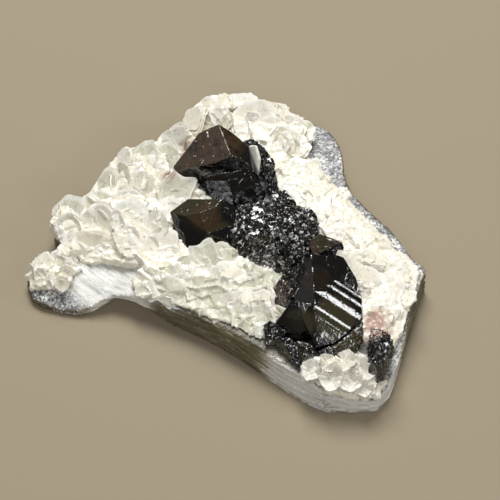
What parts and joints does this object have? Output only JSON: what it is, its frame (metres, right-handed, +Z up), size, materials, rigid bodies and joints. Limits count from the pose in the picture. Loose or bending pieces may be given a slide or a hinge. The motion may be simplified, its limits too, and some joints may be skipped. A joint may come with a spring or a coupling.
{
  "type": "cassiterite specimen",
  "caption": "Loose mineral specimen: dark cassiterite crystals in a chain on pale muscovite books over a flat slab of grey mica schist. Rests on its flat underside.",
  "frame": {"origin": "under the middle of the specimen's bounding box, on the surface it rests on", "axes": "+X along the longest side, from the slab's thin left tip to its right corner; +Y towards the back edge with the rounded mica rosettes; +Z up from the flat underside, through the slab's thickness"},
  "size_m": [0.09, 0.085, 0.02],
  "materials": {
    "mica_schist": "broken, silvery and finely layered",
    "muscovite": "pearly, flaky, slightly see-through at the edges",
    "cassiterite": "adamantine, nearly black with brown zones"
  },
  "bodies": {
    "root": {"schist_slab": "mica_schist", "cassiterite_upper_twin": "cassiterite", "cassiterite_left_crystal": "cassiterite", "cassiterite_back_sliver": "cassiterite", "cassiterite_centre_mass": "cassiterite", "cassiterite_small_prism": "cassiterite", "cassiterite_lower_crystal": "cassiterite", "cassiterite_lower_fringe": "cassiterite", "cassiterite_corner_crystal": "cassiterite", "mica_blade": "muscovite", "mica_left_rosettes": "muscovite", "mica_tip_rosette": "muscovite", "mica_front_crust": "muscovite", "mica_back_rosettes": "muscovite", "mica_right_crust": "muscovite", "mica_corner_fan": "muscovite"}
  },
  "joints": []
}
